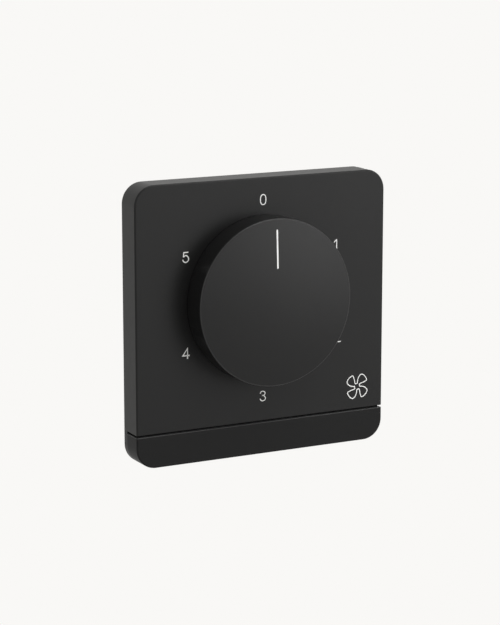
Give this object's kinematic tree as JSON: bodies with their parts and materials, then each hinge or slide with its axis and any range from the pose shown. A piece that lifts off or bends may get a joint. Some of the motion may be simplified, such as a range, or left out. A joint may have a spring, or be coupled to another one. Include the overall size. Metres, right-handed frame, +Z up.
{
  "type": "fan speed switch",
  "caption": "Square wall plate with a large round rotary knob and an inlaid pointer, a narrow strip below a groove, and a stepped speed switch in a box behind the plate.",
  "frame": {"origin": "the middle of the line through the two wall screws, on the plane of the wall", "axes": "+Z up, +Y into the wall, +X to the right for someone who faces the plate; the knob is on the side of -Y"},
  "size_m": [0.087, 0.0453, 0.0878],
  "materials": {
    "plate_plastic": "fine satin texture, dark grey",
    "strip_plastic": "fine satin texture, dark grey",
    "frame_plastic": "plain moulded, off-white",
    "housing_plastic": "plain moulded, black",
    "rear_cover_plastic": "plain moulded, black",
    "zinc_screw": "zinc plated",
    "knob_plastic": "fine satin texture, dark grey",
    "pointer_white": "white inlay",
    "spring_steel": "bright spring strip",
    "shaft_metal": "turned",
    "bushing_metal": "nickel plated",
    "washer_steel": "stamped",
    "nut_metal": "nickel plated",
    "switch_plastic": "moulded phenolic, dark brown",
    "rotor_plastic": "natural nylon",
    "contact_bronze": "spring bronze strip",
    "wafer_laminate": "phenolic paper laminate",
    "contact_brass": "bright stamped",
    "board_laminate": "single-sided board, tan",
    "capacitor_case": "potted case, ivory",
    "resistor_coat": "lacquered, beige",
    "terminal_plastic": "moulded, off-white",
    "terminal_steel": "zinc plated"
  },
  "bodies": {
    "base": {"cover_plate": "plate_plastic", "lower_strip": "strip_plastic", "mounting_frame": "frame_plastic", "mechanism_housing": "housing_plastic", "rear_cover": "rear_cover_plastic", "housing_screws": "zinc_screw", "flange_screws": "zinc_screw", "board_screws": "zinc_screw", "shaft_bushing": "bushing_metal", "bushing_washer": "washer_steel", "bushing_nut": "nut_metal", "switch_body": "switch_plastic", "detent_spring": "spring_steel", "contact_wafer": "wafer_laminate", "fixed_contacts": "contact_brass", "common_contact": "contact_brass", "circuit_board": "board_laminate", "large_capacitor": "capacitor_case", "small_capacitor": "capacitor_case", "bleed_resistors": "resistor_coat", "terminal_block": "terminal_plastic", "terminal_clamps": "contact_brass", "terminal_screws": "terminal_steel"},
    "selector": {"knob": "knob_plastic", "knob_pointer": "pointer_white", "knob_clip": "spring_steel", "selector_shaft": "shaft_metal", "shaft_clip": "spring_steel", "detent_rotor": "rotor_plastic", "wiper_contact": "contact_bronze"}
  },
  "joints": [
    {"name": "knob_turn", "type": "hinge", "parent": "base", "child": "selector", "pos_m": [0, -0.0094, 0.0061], "axis": [0, 1, 0], "range_deg": [0, 300], "deforming": ["detent_spring"]}
  ]
}
